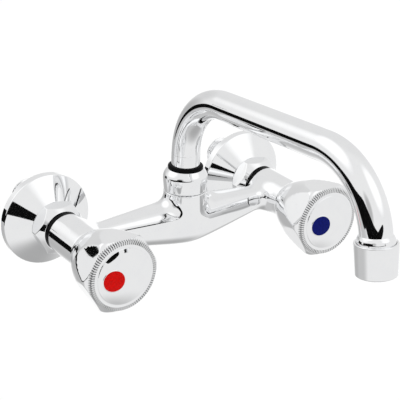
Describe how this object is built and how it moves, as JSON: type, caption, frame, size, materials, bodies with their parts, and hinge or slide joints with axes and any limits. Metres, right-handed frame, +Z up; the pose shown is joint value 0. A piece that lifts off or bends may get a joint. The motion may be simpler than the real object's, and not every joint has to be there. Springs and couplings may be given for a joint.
{
  "type": "wall-mounted kitchen mixer tap",
  "caption": "Wall-mounted two-handle mixer tap with a swivelling tubular spout, eccentric wall unions under cone flanges and screw-down valves.",
  "frame": {"origin": "on the wall plane, midway between the two arms and level with their axes", "axes": "+X to the right as the user faces the tap, +Y into the wall, +Z up"},
  "size_m": [0.209, 0.2588, 0.1301],
  "materials": {
    "chrome": "polished chrome plate on brass, mirror finish",
    "knob_chrome": "polished chrome plate with milled flats and a knurled rim",
    "brass": "machined, unplated",
    "steel": "turned stainless steel",
    "black_plastic": "smooth moulded black, semi-matt",
    "rubber": "matt moulded rubber",
    "fibre": "pressed fibre, matt",
    "aerator_plastic": "moulded, matt",
    "index_red": "glossy red disc",
    "index_blue": "glossy dark blue disc"
  },
  "bodies": {
    "tap": {"body": "chrome", "union_left": "chrome", "union_right": "chrome", "flange_left": "chrome", "flange_right": "chrome", "seal_left": "fibre", "seal_right": "fibre", "nut_left": "chrome", "nut_right": "chrome", "clip_left": "steel", "clip_right": "steel", "collar_left": "black_plastic", "collar_right": "black_plastic", "bonnet_left": "brass", "bonnet_right": "brass", "gasket_left": "fibre", "gasket_right": "fibre", "swivel_nut": "chrome", "swivel_ring": "black_plastic"},
    "spout": {"spout_tail": "brass", "spout_tube": "chrome", "tail_ring_low": "rubber", "tail_ring_high": "rubber", "outlet_ferrule": "chrome", "aerator_sleeve": "chrome", "aerator_washer": "rubber", "aerator_core": "aerator_plastic"},
    "hot_handle": {"spindle_left": "brass", "stem_ring_left": "rubber", "knob_left": "knob_chrome", "knob_screw_left": "steel", "index_left": "index_red"},
    "cold_handle": {"spindle_right": "brass", "stem_ring_right": "rubber", "knob_right": "knob_chrome", "knob_screw_right": "steel", "index_right": "index_blue"},
    "hot_lift": {"carrier_left": "brass", "jumper_left": "rubber", "jumper_screw_left": "brass"},
    "cold_lift": {"carrier_right": "brass", "jumper_right": "rubber", "jumper_screw_right": "brass"}
  },
  "joints": [
    {"name": "spout_swivel", "type": "hinge", "parent": "tap", "child": "spout", "pos_m": [0, -0.0461, 0], "axis": [0, 0, 1], "range_deg": [-100, 100]},
    {"name": "hot_turn", "type": "hinge", "parent": "tap", "child": "hot_handle", "pos_m": [-0.075, 0, 0], "axis": [0, -1, 0], "range_deg": [0, 720]},
    {"name": "cold_turn", "type": "hinge", "parent": "tap", "child": "cold_handle", "pos_m": [0.075, 0, 0], "axis": [0, -1, 0], "range_deg": [0, 720]},
    {"name": "hot_valve_lift", "type": "slide", "parent": "tap", "child": "hot_lift", "axis": [0, -1, 0], "range_m": [0, 0.0041]},
    {"name": "cold_valve_lift", "type": "slide", "parent": "tap", "child": "cold_lift", "axis": [0, -1, 0], "range_m": [0, 0.0041]}
  ],
  "couplings": [
    {"joint": "hot_valve_lift", "follows": "hot_turn", "m_per_rad": 0.000318},
    {"joint": "cold_valve_lift", "follows": "cold_turn", "m_per_rad": 0.000318}
  ]
}
